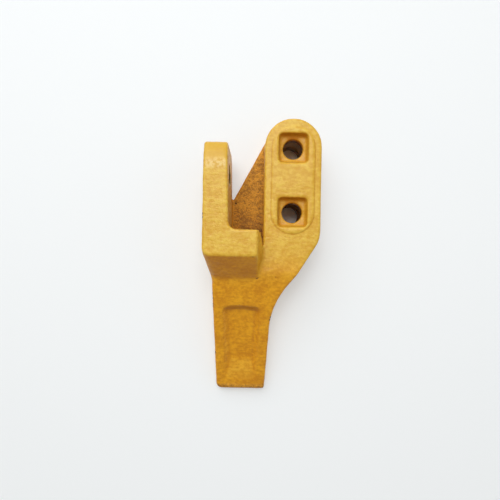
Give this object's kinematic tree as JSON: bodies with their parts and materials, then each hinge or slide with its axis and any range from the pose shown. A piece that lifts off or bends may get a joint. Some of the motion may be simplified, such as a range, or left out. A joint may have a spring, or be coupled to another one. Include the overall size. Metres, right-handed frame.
{
  "type": "bucket tooth",
  "caption": "Cast bolt-on corner tooth for a digging bucket: strap and jaw grip the lip plate, a lug stands outside the side plate, and a scooped wedge nose cuts.",
  "frame": {"origin": "midway between the two lip bolts, on the strap's seat face", "axes": "+Z along the lip bolts, towards the inside of the bucket; -Y towards the cutting tip; +X away from the side plate"},
  "size_m": [0.1175, 0.2827, 0.0725],
  "materials": {
    "paint": "worn ochre-yellow satin paint over a rough steel casting"
  },
  "bodies": {
    "root": {"tooth": "paint"}
  },
  "joints": []
}
